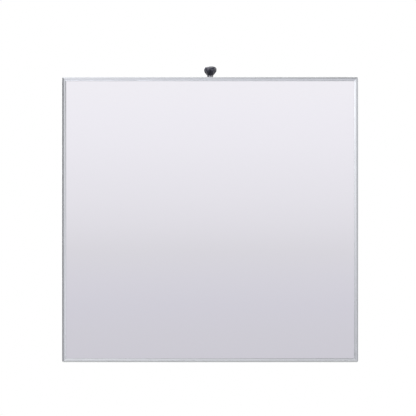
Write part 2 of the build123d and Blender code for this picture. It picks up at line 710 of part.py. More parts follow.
with BuildPart() as knob_grip:
    with BuildSketch(knob_plane):
        with BuildLine():
            Polyline(
                (0, KNOB_TOP_Z),
                (0, HUB_INSERT_TOP_Z),
                (HUB_INSERT_R, HUB_INSERT_TOP_Z),
                (HUB_INSERT_R, KNOB_GRIP_BOTTOM_Z),
                (KNOB_NECK_R + 0.3, KNOB_GRIP_BOTTOM_Z),
                (KNOB_CONE_TOP_R, KNOB_CONE_TOP_Z),
            )
            Spline(
                (KNOB_CONE_TOP_R, KNOB_CONE_TOP_Z),
                (KNOB_R, KNOB_RIM_Z),
                (KNOB_CROWN_R, KNOB_CROWN_Z),
                (0, KNOB_TOP_Z),
                tangents=((0.7, 1), (-1, 0)),
            )
        make_face()
    revolve(axis=pan_axis)
    with Locations(*flute_places):
        Cylinder(KNOB_FLUTE_R, 4 * (KNOB_TOP_Z - KNOB_GRIP_BOTTOM_Z), mode=Mode.SUBTRACT)
    leg_height = KNOB_GRIP_BOTTOM_Z - KNOB_LEG_BOTTOM_Z
    with Locations((0, PAN_Y, KNOB_LEG_BOTTOM_Z)):
        add(washer(KNOB_NECK_R, HUB_INSERT_R, leg_height).part)
    with BuildSketch(Plane.XY.offset(KNOB_LEG_BOTTOM_Z)):
        with Locations((0, PAN_Y)):
            with PolarLocations(KNOB_NECK_R, KNOB_FLUTES, start_angle=KNOB_TURN + 180 / KNOB_FLUTES):
                Rectangle(2 * KNOB_WINDOW_DEPTH, KNOB_WINDOW_WIDTH)
    extrude(amount=leg_height, mode=Mode.SUBTRACT)
knob_grip.part.label = "knob_grip"
export_step(knob_grip.part, "parts/knob_grip.step")

# ================================================================ wall bracket
with BuildPart() as wall_plate:
    with BuildSketch(Plane.XZ):
        RectangleRounded(PLATE_WIDTH, PLATE_HEIGHT, PLATE_CORNER_R)
        with GridLocations(WALL_HOLE_SPACING_X, WALL_HOLE_SPACING_Z, 2, 2):
            Circle(WALL_HOLE_R, mode=Mode.SUBTRACT)
    extrude(amount=PLATE_T)
    front_outline = wall_plate.faces().sort_by(Axis.Y)[0].outer_wire().edges()
    chamfer(front_outline, 0.8)
wall_plate.part.label = "wall_plate"
export_step(wall_plate.part, "parts/wall_plate.step")

with BuildPart() as arm_tube:
    with BuildSketch(Plane.XZ.offset(PLATE_T)):
        with Locations((0, ARM_Z)):
            RectangleRounded(ARM_WIDTH, ARM_HEIGHT, ARM_WALL)
            RectangleRounded(
                ARM_WIDTH - 2 * ARM_WALL, ARM_HEIGHT - 2 * ARM_WALL, ARM_WALL / 2, mode=Mode.SUBTRACT
            )
    extrude(amount=-PAN_Y - PLATE_T)
    with Locations((0, PAN_Y, ARM_Z)):
        Cylinder(BARREL_R, 2 * ARM_HEIGHT, mode=Mode.SUBTRACT)
arm_tube.part.label = "arm_tube"
export_step(arm_tube.part, "parts/arm_tube.step")

with BuildPart() as arm_gusset:
    with BuildSketch(Plane.YZ):
        gusset_top_z = ARM_Z - ARM_HEIGHT / 2
        with BuildLine():
            Polyline(
                (-PLATE_T, gusset_top_z - 6),
                (-PLATE_T, GUSSET_FOOT_Z),
                (-PLATE_T - 8, GUSSET_FOOT_Z),
                (-PLATE_T - GUSSET_REACH, gusset_top_z - 8),
                (-PLATE_T - GUSSET_REACH, gusset_top_z),
                (-PLATE_T - 6, gusset_top_z),
                close=True,
            )
        make_face()
    extrude(amount=GUSSET_T / 2, both=True)
arm_gusset.part.label = "arm_gusset"
export_step(arm_gusset.part, "parts/arm_gusset.step")

with BuildPart() as pan_barrel:
    with Locations((0, PAN_Y, ARM_Z)):
        Cylinder(BARREL_R, 2 * BARREL_HALF_H)
        Cylinder(BARREL_BORE_R, 4 * BARREL_HALF_H, mode=Mode.SUBTRACT)
    chamfer(pan_barrel.edges().filter_by(GeomType.CIRCLE).filter_by(lambda e: e.radius > 10), 0.6)
pan_barrel.part.label = "pan_barrel"
export_step(pan_barrel.part, "parts/pan_barrel.step")

bush = flanged_bush(BARREL_BORE_R, STUD_R + RUNNING, BUSH_DEPTH, BUSH_FLANGE_R, BUSH_FLANGE_T)
for name, way in (("upper", 1), ("lower", -1)):
    with BuildPart() as pan_bush:
        with Locations(Plane(origin=(0, PAN_Y, ARM_Z + way * BARREL_HALF_H), z_dir=(0, 0, way)).location):
            add(bush.part)
    pan_bush.part.label = f"pan_bush_{name}"
    export_step(pan_bush.part, f"parts/pan_bush_{name}.step")
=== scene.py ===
"""Square convex yard mirror on a swivelling wall bracket: the visible pieces, their finishes and the studio.

Every piece stands in the part's own frame, in metres: the origin is the centre of the wall plate's back face,
+Y points into the wall, the mirror faces -Y, and +Z is up.
"""

import json
import math

import bmesh
import bpy
from mathutils import Matrix, Vector


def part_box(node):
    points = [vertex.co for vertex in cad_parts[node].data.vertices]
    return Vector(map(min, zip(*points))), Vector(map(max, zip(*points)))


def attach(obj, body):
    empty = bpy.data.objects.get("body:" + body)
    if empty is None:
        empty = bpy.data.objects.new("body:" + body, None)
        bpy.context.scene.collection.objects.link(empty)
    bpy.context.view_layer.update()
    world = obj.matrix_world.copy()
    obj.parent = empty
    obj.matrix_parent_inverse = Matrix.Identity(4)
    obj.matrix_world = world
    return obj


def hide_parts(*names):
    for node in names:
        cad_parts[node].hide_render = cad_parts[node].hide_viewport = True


bl_info = {
    "name": "Convex yard mirror",
    "version": (1, 0, 0),
    "blender": (4, 5, 0),
    "location": "View3D > Sidebar > Yard Mirror",
    "description": "Builds a framed convex mirror with its star knob, wall bracket and studio",
    "category": "Object",
}

MM = 0.001
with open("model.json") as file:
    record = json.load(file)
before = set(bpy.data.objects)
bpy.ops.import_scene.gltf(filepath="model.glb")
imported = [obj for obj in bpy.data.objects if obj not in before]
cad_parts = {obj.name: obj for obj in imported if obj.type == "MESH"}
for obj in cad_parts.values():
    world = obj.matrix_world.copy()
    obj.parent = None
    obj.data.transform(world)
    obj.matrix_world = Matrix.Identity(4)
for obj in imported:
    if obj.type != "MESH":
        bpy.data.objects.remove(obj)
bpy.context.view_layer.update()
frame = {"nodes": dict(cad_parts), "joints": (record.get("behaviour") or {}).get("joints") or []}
NODES = frame["nodes"]
JOINTS = {joint["name"]: joint for joint in frame["joints"]}
PAN_AXIS = Vector(JOINTS["pan"]["pos_m"])


def node_span(nodes, axis):
    """Lowest and highest coordinate of several CAD nodes along one axis."""
    boxes = [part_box(node) for node in nodes]
    return min(low[axis] for low, _ in boxes), max(high[axis] for _, high in boxes)

RAILS = {
    "frame_top_rail": Vector((0, 0, 1)),
    "frame_bottom_rail": Vector((0, 0, -1)),
    "frame_left_rail": Vector((-1, 0, 0)),
    "frame_right_rail": Vector((1, 0, 0)),
}
FRAME_LEFT, FRAME_RIGHT = node_span(RAILS, 0)
FRAME_BOTTOM, FRAME_TOP = node_span(RAILS, 2)
PANE_LEFT, PANE_RIGHT = node_span(["mirror_pane"], 0)
PANE_BOTTOM, PANE_TOP = node_span(["mirror_pane"], 2)
PANE_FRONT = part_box("mirror_pane")[0].y
MIRROR_MIDDLE = Vector((0, PANE_FRONT, (FRAME_BOTTOM + FRAME_TOP) / 2))

# the grip's outside, up from its foot: (depth below the top, radius), in millimetres
GRIP_OUTLINE = (
    (18.8, 5.3), (18.8, 6.2), (18.5, 6.6), (17.6, 7.4), (16.6, 8.2),
    (15.6, 9.0), (14.6, 9.8), (13.6, 10.5), (12.6, 11.2), (11.8, 11.8),
    (10.8, 12.35), (9.8, 12.75), (8.8, 12.95), (7.8, 13.05), (6.8, 13.08),
    (5.8, 13.0), (4.9, 12.8), (4.1, 12.45), (3.4, 12.0), (2.7, 11.35),
    (2.1, 10.6), (1.6, 9.75), (1.15, 8.75), (0.8, 7.6), (0.5, 6.3),
    (0.28, 4.9), (0.12, 3.4), (0.04, 2.0), (0.01, 0.8),
)
GRIP_DEPTH = 18.8 * MM  # from the top of the grip down to the skirt
FLUTE_LEAN = math.radians(33)  # from upright, deeper towards the neck
FLUTE_CREST = 7 * MM  # below the top, where a flute just touches the rim
FLUTE_RIM = 12.65 * MM  # radius of the rim that it touches
LEG_SIZE = (1.15 * MM, 2.6 * MM)  # deep and wide, of the skirt's legs
LEG_MIDDLE = 5.7 * MM  # from the knob's axis
HUB_CORE = 5.2 * MM  # radius of the metal inside the skirt
HUB_BORE = 3.02 * MM  # radius of the hole for the M6 stud
GRIP_SEGMENTS = 252  # round the grip, a whole number for each of its six flutes

PANE_GRID = (96, 92)  # faces across and up the pane
RAIL_STEPS = 60  # along a rail's curve
PAST_CORNER = 1.1  # a rail is swept this far past its corners, for the mitres to cut
CORNER_CUTS = (9, 18, 27, 36, 45)  # degrees, the flats that round a frame corner
ON_THE_CUT = 1e-7  # metres, within which a point counts as on a cutting plane
SAME_SPOT = 1e-6  # metres, within which two points are one

THREAD_STEPS = 24  # round one turn
THREAD_DEPTH = 0.6  # of the pitch
# one thread, up its flank and down again: (share of the depth cut away, share of the pitch)
THREAD_OUTLINE = ((1, 0), (1, 0.12), (0, 0.44), (0, 0.68), (1, 1))

WELD_LEAST = 6  # points along the shortest bead
WELD_VALLEY = 0.82  # a bead's radius between its ripples, as a share of that on them
WELD_WAVER = 0.06  # how much it varies along the run, as a share
WELD_WAVE = 2.3  # radians of that waver for each ripple
WELD_STOP = 1 * MM  # left bare at a seam's end
WELD_GAP = 7 * MM  # left bare at the gusset's snipped inner corner

SENSOR_WIDTH = 36  # millimetres
FAR_CLIP = 100  # metres

# (name, place, aim, width, height, watts, colour)
SOFT_BOXES = [
    ("top_box", (-0.3, 1.3, 2.3), (0, -0.15, 0), 2.4, 1.4, 30, "FFFFFF"),
    ("right_box", (2.6, 0.9, 0.9), (0, -0.15, -0.2), 1.2, 1.6, 14, "FFFDFA"),
    ("left_box", (-2.2, 1.6, 0.6), (0, -0.15, -0.2), 1.4, 1.6, 18, "F8FAFF"),
    ("rear_box", (-0.9, 2.8, 0.4), (0, -0.2, -0.2), 1.8, 1.8, 42, "FFFFFF"),
]

# what the mirror shows: height of the view direction, colour
SKY_BANDS = [
    (-0.183, "CBCAD0"),
    (-0.135, "CECDD3"),
    (-0.103, "D0CFD6"),
    (-0.070, "D4D3D9"),
    (-0.038, "D8D7DB"),
    (-0.006, "DFDEE2"),
    (0.0265, "E4E3E7"),
    (0.091, "EBEAEE"),
    (0.123, "EDECF0"),
    (0.1555, "EFEEF1"),
    (0.188, "EEEDF1"),
]
# what the rails show: direction's component, half of the gain there, and how it changes
# along the other component, where 0.5 is not at all and each 1/16 is one more per unit
SKY_SIDES = [
    (-0.98, (0.16, 0.1, 0)),
    (-0.8, (0.22, 0.25, 0)),
    (-0.57, (0.8, 0.78, 0)),
    (-0.25, (0.5, 0.5, 0)),
    (0.25, (0.5, 0.5, 0)),
    (0.57, (0.58, 0.16, 0)),
    (0.98, (0.4, 0.53, 0)),
]
SKY_HEIGHTS = [
    (-0.98, (0.36, 0.59, 0)),
    (-0.57, (1.35, 0.2, 0)),
    (-0.25, (0.5, 0.5, 0)),
    (0.25, (0.5, 0.5, 0)),
    (0.57, (0.3, 0.4, 0)),
    (0.98, (0.45, 0.25, 0)),
]
MIRROR_GAIN = 0.92  # share of the light that the pane gives back
BAND_REACH = 0.2  # height of the view direction at the ends of the mirror's bands
LEVEL = 0.5  # the green of a stop that doesn't change along the other component
SLOPE_SCALE = 16.0  # a stop's change for each unit of green past level
SLOPE_REACH = 0.2  # past this the change stops
LEAST_GAIN = 0.05  # however far the other gains bring it down
# behind the mirror the surround dims: (Y from, Y to, gain from, gain to)
REAR_DIMMING = (-0.2, 0.3, 1.0, 0.4)

# ---------------------------------------------------------------- sizes and colours a user would change
class PaneSettings(bpy.types.PropertyGroup):
    dome_radius: bpy.props.FloatProperty(
        name="Dome radius", description="Radius of the mirror's front surface", default=3.6, unit="LENGTH"
    )
    thickness: bpy.props.FloatProperty(
        name="Thickness", description="Thickness of the acrylic pane", default=3 * MM, unit="LENGTH"
    )
    tint: bpy.props.StringProperty(
        name="Tint", description="Colour of the mirrored face, as sRGB hex", default="F6F5F8"
    )
    ripple: bpy.props.FloatProperty(
        name="Ripple", description="Height of the moulding's slow waves", default=0.003 * MM, unit="LENGTH"
    )


class FrameSettings(bpy.types.PropertyGroup):
    lip_width: bpy.props.FloatProperty(
        name="Lip width", description="Width of the rail's front lip", default=7.9 * MM, unit="LENGTH"
    )
    edge_round: bpy.props.FloatProperty(
        name="Edge round", description="Radius on the rail's edges", default=0.3 * MM, unit="LENGTH"
    )
    corner_round: bpy.props.FloatProperty(
        name="Corner round", description="Radius of the frame's outer corners", default=3 * MM, unit="LENGTH"
    )
    metal: bpy.props.StringProperty(
        name="Metal", description="Colour of the anodised rails, as sRGB hex", default="E3E6E8"
    )


class KnobSettings(bpy.types.PropertyGroup):
    flutes: bpy.props.IntProperty(name="Flutes", description="Finger flutes round the grip", default=6)
    flute_radius: bpy.props.FloatProperty(
        name="Flute radius", description="Radius of each finger flute", default=4.6 * MM, unit="LENGTH"
    )
    turn: bpy.props.FloatProperty(
        name="Turn",
        description="Angle of the first flute from +X",
        default=math.radians(-89),
        subtype="ANGLE",
    )
    edge_round: bpy.props.FloatProperty(
        name="Edge round", description="Softness of the lobes' edges", default=0.9 * MM, unit="LENGTH"
    )
    plastic: bpy.props.StringProperty(
        name="Plastic", description="Colour of the grip, as sRGB hex", default="4C4D57"
    )


class BracketSettings(bpy.types.PropertyGroup):
    weld_size: bpy.props.FloatProperty(
        name="Weld size", description="Radius of the weld beads", default=1.8 * MM, unit="LENGTH"
    )
    weld_step: bpy.props.FloatProperty(
        name="Weld step", description="From one ripple of a bead to the next", default=1.3 * MM, unit="LENGTH"
    )
    arm_paint: bpy.props.StringProperty(
        name="Arm paint", description="Colour of the wall bracket, as sRGB hex", default="8E9396"
    )
    yoke_paint: bpy.props.StringProperty(
        name="Yoke paint", description="Colour of the yoke and hinge bracket, as sRGB hex", default="2B2C2E"
    )


class StageSettings(bpy.types.PropertyGroup):
    lens: bpy.props.FloatProperty(name="Lens", description="Focal length in millimetres", default=1500.0)
    distance: bpy.props.FloatProperty(
        name="Distance", description="From the lens to the mirror", default=35.129, unit="LENGTH"
    )
    aim_right: bpy.props.FloatProperty(
        name="Aim right",
        description="How far right of the mirror's middle the camera aims, less than nothing for left",
        default=-4.32 * MM,
        unit="LENGTH",
    )
    aim_up: bpy.props.FloatProperty(
        name="Aim up",
        description="How far above the mirror's middle the camera aims",
        default=23.62 * MM,
        unit="LENGTH",
    )
    floor_drop: bpy.props.FloatProperty(
        name="Floor drop",
        description="From the mirror's lower edge to the floor",
        default=0.45,
        unit="LENGTH",
    )
    floor_radius: bpy.props.FloatProperty(
        name="Floor radius", description="Radius of the round floor", default=2.2, unit="LENGTH"
    )
    floor_colour: bpy.props.StringProperty(
        name="Floor colour", description="Colour of the floor, as sRGB hex", default="D0D0CE"
    )

# ---------------------------------------------------------------- colours and nodes
def srgb(hexcode, alpha=1.0):
    """A linear colour from an sRGB hex value."""
    channels = [int(hexcode[i : i + 2], 16) / 255 for i in (0, 2, 4)]
    return (*[c / 12.92 if c <= 0.04045 else ((c + 0.055) / 1.055) ** 2.4 for c in channels], alpha)

MAPPING = "ShaderNodeMapping"
NOISE = "ShaderNodeTexNoise"
CELLS = "ShaderNodeTexVoronoi"
RANGE = "ShaderNodeMapRange"
MIX = "ShaderNodeMix"
BUMP = "ShaderNodeBump"
MATH = "ShaderNodeMath"


def add_node(tree, kind, inputs=None, **settings):
    """Adds a node with its settings, and sets its inputs.

    A node given as an input is linked by its first output.
    """
    node = tree.nodes.new(kind)
    for name, value in settings.items():
        setattr(node, name, value)
    for socket, value in (inputs or {}).items():
        if isinstance(value, bpy.types.Node):
            value = next(output for output in value.outputs if output.enabled)
        if isinstance(value, bpy.types.NodeSocket):
            tree.links.new(value, node.inputs[socket])
        else:
            node.inputs[socket].default_value = value
    return node


def start_finish(name, stretch=(1, 1, 1)):
    """A new material: its node tree, and the piece's own coordinates, stretched to pack a pattern closer."""
    material = bpy.data.materials.new(name)
    material.use_nodes = True
    tree = material.node_tree
    tree.nodes.clear()
    place = add_node(tree, "ShaderNodeTexCoord").outputs["Object"]
    return material, tree, add_node(tree, MAPPING, {"Vector": place, "Scale": stretch})


def end_finish(material, tree, looks):
    """Joins the looks to a Principled shader and the material's output."""
    shader = add_node(tree, "ShaderNodeBsdfPrincipled", looks)
    add_node(tree, "ShaderNodeOutputMaterial", {"Surface": shader})
    return material

# ---------------------------------------------------------------- finishes
def mirrored_acrylic(settings):
    """Clear acrylic sheet, vacuum-aluminised on its back, then blown to a dome over heat.

    It gives a bright, clean mirror whose reflections drift very slightly with the moulding's slow waves.
    """
    material, tree, space = start_finish("Mirrored acrylic, thermoformed")
    # the moulding's waves are 60 to 80 mm long, and the hard coat's haze has 25 mm clouds
    waves = add_node(tree, NOISE, {"Vector": space, "Scale": 1 / (70 * MM), "Detail": 1.0})
    haze = add_node(tree, NOISE, {"Vector": space, "Scale": 1 / (25 * MM), "Detail": 4.0})
    rough = {"Value": haze, "From Min": 0.35, "From Max": 0.7, "To Min": 0.03, "To Max": 0.045}
    looks = {
        "Base Color": srgb(settings.tint),
        "Metallic": 1.0,
        "Roughness": add_node(tree, RANGE, rough),
        "Normal": add_node(tree, BUMP, {"Height": waves, "Distance": settings.ripple}),
    }
    return end_finish(material, tree, looks)


def anodised_aluminium(settings, along_x):
    """Bright-dipped, clear-anodised extrusion.

    Its die lines run the length of the rail, so highlights smear a little across them.
    """
    name = "Bright anodised aluminium, drawn along " + ("X" if along_x else "Z")
    # die lines about 1 mm apart and 150 mm long: the real 0.1 mm ones are too fine to show
    stretch = (6, 900, 900) if along_x else (900, 900, 6)
    material, tree, space = start_finish(name, stretch)
    place = add_node(tree, "ShaderNodeTexCoord").outputs["Object"]
    lines = add_node(tree, NOISE, {"Vector": space, "Scale": 1.0, "Detail": 4.0, "Roughness": 0.65})
    cloud = add_node(tree, NOISE, {"Vector": place, "Scale": 1 / (45 * MM), "Detail": 2.0})
    shade = add_node(tree, RANGE, {"Value": lines, "From Min": 0.35, "From Max": 0.7})
    metal = srgb(settings.metal)
    worn = [c * 0.88 for c in metal[:3]] + [1.0]
    rough = {"Value": cloud, "From Min": 0.3, "From Max": 0.7, "To Min": 0.2, "To Max": 0.27}
    looks = {
        "Base Color": add_node(tree, MIX, {"Factor": shade, "A": metal, "B": worn}, data_type="RGBA"),
        "Metallic": 1.0,
        "Anisotropic": 0.3,
        "Roughness": add_node(tree, RANGE, rough),
        "Normal": add_node(tree, BUMP, {"Height": lines, "Distance": 0.01 * MM, "Strength": 0.4}),
    }
    return end_finish(material, tree, looks)


def black_phenolic(settings):
    """Compression-moulded phenolic: a dark slate body with a polished skin and a faint orange peel."""
    material, tree, space = start_finish("Slate-black phenolic, compression moulded")
    peel = add_node(tree, NOISE, {"Vector": space, "Scale": 1 / (2.2 * MM), "Detail": 2.0})
    handled = add_node(tree, NOISE, {"Vector": space, "Scale": 1 / (6 * MM), "Detail": 3.0})
    rough = {"Value": handled, "From Min": 0.35, "From Max": 0.75, "To Min": 0.2, "To Max": 0.34}
    shade = add_node(tree, RANGE, {"Value": handled, "From Min": 0.3, "From Max": 0.75})
    body = srgb(settings.plastic)
    rubbed = [c * 1.35 for c in body[:3]] + [1.0]
    looks = {
        "Base Color": add_node(tree, MIX, {"Factor": shade, "A": body, "B": rubbed}, data_type="RGBA"),
        "IOR": 1.6,
        "Roughness": add_node(tree, RANGE, rough),
        "Normal": add_node(tree, BUMP, {"Height": peel, "Distance": 0.02 * MM, "Strength": 0.5}),
        "Coat Weight": 0.15,
        "Coat Roughness": 0.12,
    }
    return end_finish(material, tree, looks)


def turned_metal(name, colour, roughness):
    """Metal turned and then plated: fine tool rings round the axis break its shine into soft bands."""
    # rings 0.35 mm apart, the feed of a finishing cut
    material, tree, space = start_finish(name, (40, 40, 1 / (0.35 * MM)))
    rings = add_node(tree, NOISE, {"Vector": space, "Scale": 1.0, "Detail": 2.0})
    shade = add_node(tree, RANGE, {"Value": rings, "From Min": 0.35, "From Max": 0.7})
    rough = {"Value": rings, "To Min": roughness * 0.7, "To Max": roughness * 1.4}
    base = srgb(colour)
    dull = [c * 0.8 for c in base[:3]] + [1.0]
    looks = {
        "Base Color": add_node(tree, MIX, {"Factor": shade, "A": base, "B": dull}, data_type="RGBA"),
        "Metallic": 1.0,
        "Roughness": add_node(tree, RANGE, rough),
        "Normal": add_node(tree, BUMP, {"Height": rings, "Distance": 0.015 * MM, "Strength": 0.5}),
    }
    return end_finish(material, tree, looks)


def zinc_plate():
    """Bright zinc on rolled steel: a cool silver that drifts a little between blue and straw."""
    material, tree, space = start_finish("Bright zinc-plated steel")
    drift = add_node(tree, NOISE, {"Vector": space, "Scale": 1 / (7 * MM), "Detail": 3.0})
    pits = add_node(tree, NOISE, {"Vector": space, "Scale": 1 / (0.6 * MM), "Detail": 4.0})
    shade = add_node(tree, RANGE, {"Value": drift, "From Min": 0.35, "From Max": 0.65})
    rough = {"Value": pits, "From Min": 0.3, "From Max": 0.8, "To Min": 0.24, "To Max": 0.44}
    tones = {"Factor": shade, "A": srgb("D3D7DC"), "B": srgb("CFCBB8")}
    looks = {
        "Base Color": add_node(tree, MIX, tones, data_type="RGBA"),
        "Metallic": 1.0,
        "Roughness": add_node(tree, RANGE, rough),
        "Normal": add_node(tree, BUMP, {"Height": pits, "Distance": 0.02 * MM, "Strength": 0.4}),
    }
    return end_finish(material, tree, looks)


def powder_coat(name, colour, peel_size, roughness):
    """Sprayed and baked powder paint: an even colour over a fine orange peel, a little dusty in places."""
    material, tree, space = start_finish(name)
    peel = add_node(tree, NOISE, {"Vector": space, "Scale": 1 / peel_size, "Detail": 2.0})
    dust = add_node(tree, NOISE, {"Vector": space, "Scale": 1 / (60 * MM), "Detail": 5.0, "Roughness": 0.6})
    shade = add_node(tree, RANGE, {"Value": dust, "From Min": 0.5, "From Max": 0.8})
    rough = {"Value": dust, "From Min": 0.3, "From Max": 0.8, "To Min": roughness, "To Max": roughness + 0.14}
    base = srgb(colour)
    dusty = [c * 0.92 + 0.025 for c in base[:3]] + [1.0]
    looks = {
        "Base Color": add_node(tree, MIX, {"Factor": shade, "A": base, "B": dusty}, data_type="RGBA"),
        "Roughness": add_node(tree, RANGE, rough),
        "Normal": add_node(tree, BUMP, {"Height": peel, "Distance": 0.05 * MM, "Strength": 0.55}),
    }
    return end_finish(material, tree, looks)


def haircell_abs():
    """Vacuum-formed ABS sheet with a haircell grain rolled into it: dark grey with a soft sheen."""
    material, tree, space = start_finish("Dark ABS sheet, haircell grain")
    # the grain's cells are about 1.6 mm across
    cells = add_node(
        tree, CELLS, {"Vector": space, "Scale": 1 / (1.6 * MM)}, feature="DISTANCE_TO_EDGE"
    ).outputs["Distance"]
    cloud = add_node(tree, NOISE, {"Vector": space, "Scale": 1 / (90 * MM), "Detail": 4.0})
    shade = add_node(tree, RANGE, {"Value": cloud, "From Min": 0.35, "From Max": 0.7})
    rough = {"Value": cells, "From Min": 0.0, "From Max": 0.25, "To Min": 0.62, "To Max": 0.48}
    raised = add_node(tree, RANGE, {"Value": cells, "From Min": 0.0, "From Max": 0.2})
    tones = {"Factor": shade, "A": srgb("2F3033"), "B": srgb("3A3B3E")}
    looks = {
        "Base Color": add_node(tree, MIX, tones, data_type="RGBA"),
        "IOR": 1.53,
        "Roughness": add_node(tree, RANGE, rough),
        "Normal": add_node(tree, BUMP, {"Height": raised, "Distance": 0.06 * MM, "Strength": 0.6}),
    }
    return end_finish(material, tree, looks)


def galvanised_sheet():
    """Hot-dip galvanised sheet: zinc crystals about 11 mm across, each a slightly different grey."""
    material, tree, space = start_finish("Galvanised steel sheet, spangled")
    # the crystals' edges wander 3 mm, as the zinc freezes unevenly
    wander = add_node(tree, NOISE, {"Vector": space, "Scale": 1 / (12 * MM), "Detail": 3.0})
    stray = {"Vector": wander.outputs["Color"], "Location": (-1.5 * MM,) * 3, "Scale": (3 * MM,) * 3}
    astray = {0: space, 1: add_node(tree, MAPPING, stray)}
    bent = add_node(tree, "ShaderNodeVectorMath", astray, operation="ADD")
    crystals = add_node(tree, CELLS, {"Vector": bent, "Scale": 1 / (11 * MM)}, feature="F1").outputs["Color"]
    shade = add_node(tree, "ShaderNodeSeparateColor", {"Color": crystals})
    both = add_node(tree, MATH, {0: shade, 1: wander}, operation="MULTIPLY")
    rough = {"Value": both, "From Min": 0.0, "From Max": 0.6, "To Min": 0.52, "To Max": 0.64}
    tones = {"Factor": shade, "A": srgb("A6ABAF"), "B": srgb("C0C5C9")}
    looks = {
        "Base Color": add_node(tree, MIX, tones, data_type="RGBA"),
        "Metallic": 0.9,
        "Roughness": add_node(tree, RANGE, rough),
        "Normal": add_node(tree, BUMP, {"Height": wander, "Distance": 0.03 * MM, "Strength": 0.4}),
    }
    return end_finish(material, tree, looks)


def natural_acetal():
    """Natural acetal: off-white and slightly waxy, with light passing a little way into it."""
    material, tree, space = start_finish("Natural acetal, machined")
    marks = add_node(tree, NOISE, {"Vector": space, "Scale": 1 / (1.2 * MM), "Detail": 3.0})
    shade = add_node(tree, RANGE, {"Value": marks, "From Min": 0.3, "From Max": 0.8})
    rough = {"Value": marks, "From Min": 0.3, "From Max": 0.7, "To Min": 0.3, "To Max": 0.42}
    tones = {"Factor": shade, "A": srgb("EAE7DC"), "B": srgb("DAD6C8")}
    looks = {
        "Base Color": add_node(tree, MIX, tones, data_type="RGBA"),
        "IOR": 1.48,
        "Subsurface Weight": 0.15,
        "Subsurface Radius": (1.2 * MM, 1.0 * MM, 0.8 * MM),
        "Roughness": add_node(tree, RANGE, rough),
    }
    return end_finish(material, tree, looks)


def black_rubber():
    """Extruded EPDM: near black and dull, with a chalky bloom."""
    material, tree, space = start_finish("Black EPDM, extruded")
    bloom = add_node(tree, NOISE, {"Vector": space, "Scale": 1 / (9 * MM), "Detail": 5.0})
    shade = add_node(tree, RANGE, {"Value": bloom, "From Min": 0.45, "From Max": 0.8})
    rough = {"Value": bloom, "From Min": 0.3, "From Max": 0.8, "To Min": 0.62, "To Max": 0.8}
    tones = {"Factor": shade, "A": srgb("161617"), "B": srgb("26272A")}
    looks = {
        "Base Color": add_node(tree, MIX, tones, data_type="RGBA"),
        "Roughness": add_node(tree, RANGE, rough),
    }
    return end_finish(material, tree, looks)


def friction_fibre():
    """Resin-bonded friction disc: brown fibre with brass flecks."""
    material, tree, space = start_finish("Resin-bonded friction fibre", (1, 4, 1))
    fibre = add_node(tree, NOISE, {"Vector": space, "Scale": 1 / (0.8 * MM), "Detail": 5.0})
    flecks = add_node(tree, NOISE, {"Vector": space, "Scale": 1 / (0.5 * MM), "Detail": 1.0})
    shade = add_node(tree, RANGE, {"Value": fibre, "From Min": 0.3, "From Max": 0.7})
    brass = add_node(tree, RANGE, {"Value": flecks, "From Min": 0.68, "From Max": 0.74})
    rough = {"Value": fibre, "From Min": 0.3, "From Max": 0.7, "To Min": 0.6, "To Max": 0.78}
    tones = {"Factor": shade, "A": srgb("5A4030"), "B": srgb("7C5C42")}
    body = add_node(tree, MIX, tones, data_type="RGBA")
    flecked = {"Factor": brass, "A": body, "B": srgb("B9974E")}
    looks = {
        "Base Color": add_node(tree, MIX, flecked, data_type="RGBA"),
        "Roughness": add_node(tree, RANGE, rough),
        "Normal": add_node(tree, BUMP, {"Height": fibre, "Distance": 0.05 * MM, "Strength": 0.5}),
    }
    return end_finish(material, tree, looks)


def floor_paint(settings):
    """Matt studio floor paint, rolled: pale, with a barely visible stipple."""
    material, tree, space = start_finish("Matt floor paint, rolled")
    stipple = add_node(tree, NOISE, {"Vector": space, "Scale": 1 / (6 * MM), "Detail": 2.0})
    rough = {"Value": stipple, "From Min": 0.3, "From Max": 0.7, "To Min": 0.7, "To Max": 0.8}
    looks = {
        "Base Color": srgb(settings.floor_colour),
        "Specular IOR Level": 0.2,
        "Roughness": add_node(tree, RANGE, rough),
    }
    return end_finish(material, tree, looks)

# ---------------------------------------------------------------- shapes
def set_piece(name, bm, material, body, replaces=(), crease=35):
    """Turns a bmesh into a finished piece that rides on a CAD body, smooth between its sharp edges."""
    bmesh.ops.recalc_face_normals(bm, faces=bm.faces)
    mesh = bpy.data.meshes.new(name)
    bm.to_mesh(mesh)
    bm.free()
    mesh.shade_smooth()
    mesh.set_sharp_from_angle(angle=math.radians(crease))
    piece = bpy.data.objects.new(name, mesh)
    bpy.context.scene.collection.objects.link(piece)
    mesh.materials.append(material)
    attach(piece, body)
    if replaces:
        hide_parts(*replaces)
    return piece


def paint_node(node, material):
    """Gives a CAD node one finish."""
    slots = NODES[node].data.materials
    slots.clear()
    slots.append(material)


def turn_up(levels, segments=64, hollow=False):
    """A piece built up ring by ring along +Z.

    A level is (height, radius), and either is a number or a function of the angle. A solid piece is
    closed by flat caps, and a hollow one by joining its last ring to its first.
    """
    bm = bmesh.new()
    first = bmesh.ops.create_circle(bm, segments=segments, radius=1.0)["verts"]
    ring = first
    edges = list(bm.edges)
    first_edges = edges
    for count, (height, radius) in enumerate(levels):
        if count:
            grown = bmesh.ops.extrude_edge_only(bm, edges=edges)["geom"]
            ring = [item for item in grown if isinstance(item, bmesh.types.BMVert)]
            edges = [item for item in grown if isinstance(item, bmesh.types.BMEdge)]
            edges = [edge for edge in edges if all(vert in set(ring) for vert in edge.verts)]
        for vert in ring:
            angle = math.atan2(vert.co.y, vert.co.x)
            reach = radius(angle) if callable(radius) else radius
            vert.co = (
                reach * math.cos(angle),
                reach * math.sin(angle),
                height(angle) if callable(height) else height,
            )
    if hollow:
        bmesh.ops.bridge_loops(bm, edges=first_edges + edges)
    else:
        bmesh.ops.contextual_create(bm, geom=first_edges)
        bmesh.ops.contextual_create(bm, geom=edges)
    return bm


